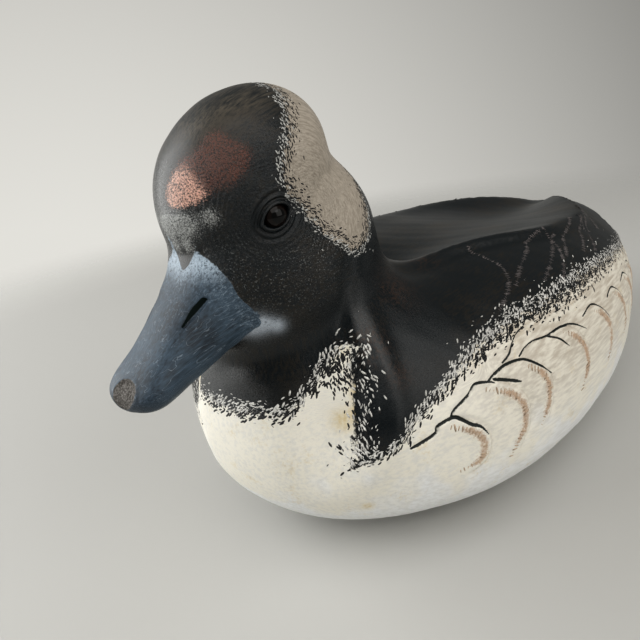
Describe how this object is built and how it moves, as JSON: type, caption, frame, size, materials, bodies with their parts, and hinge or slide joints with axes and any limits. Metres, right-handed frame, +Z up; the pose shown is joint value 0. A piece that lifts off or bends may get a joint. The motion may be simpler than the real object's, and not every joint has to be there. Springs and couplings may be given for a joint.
{
  "type": "carved wooden duck",
  "caption": "Carved and hand-painted wooden diving-duck drake with glass eyes, flat below so that it stands on a shelf or table.",
  "frame": {"origin": "centre of the bounding box at the flat underside, midway between bill tip and tail tip", "axes": "+Z up; the duck faces -Y, its tail points to +Y and its left side is +X"},
  "size_m": [0.14, 0.289, 0.1402],
  "materials": {
    "painted_wood": "hand-painted wood, satin: black head, neck and back, warm white breast, flanks and head patch, slate-blue bill",
    "eye_glass": "polished near-black glass"
  },
  "bodies": {
    "root": {"carved_duck": "painted_wood", "glass_eye_left": "eye_glass", "glass_eye_right": "eye_glass"}
  },
  "joints": []
}
